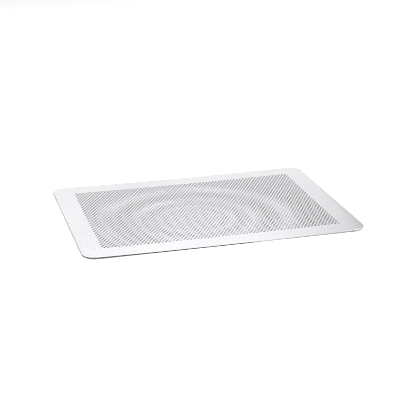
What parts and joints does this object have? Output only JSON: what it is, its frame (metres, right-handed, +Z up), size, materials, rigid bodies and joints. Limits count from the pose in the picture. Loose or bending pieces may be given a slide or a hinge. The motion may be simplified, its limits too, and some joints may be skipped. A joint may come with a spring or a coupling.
{
  "type": "perforated baking tray",
  "caption": "Flat thin rectangular metal baking tray with rounded corners, a plain border and a dense field of small round holes for baking bread.",
  "frame": {"origin": "centre of the underside, on the plane that the tray stands on", "axes": "+X along the long side, +Y along the short side towards the back, +Z up"},
  "size_m": [0.4, 0.3, 0.0015],
  "materials": {
    "satin_aluminium": "satin mill-finish sheet, edges rubbed smooth"
  },
  "bodies": {
    "root": {"perforated_sheet": "satin_aluminium"}
  },
  "joints": []
}
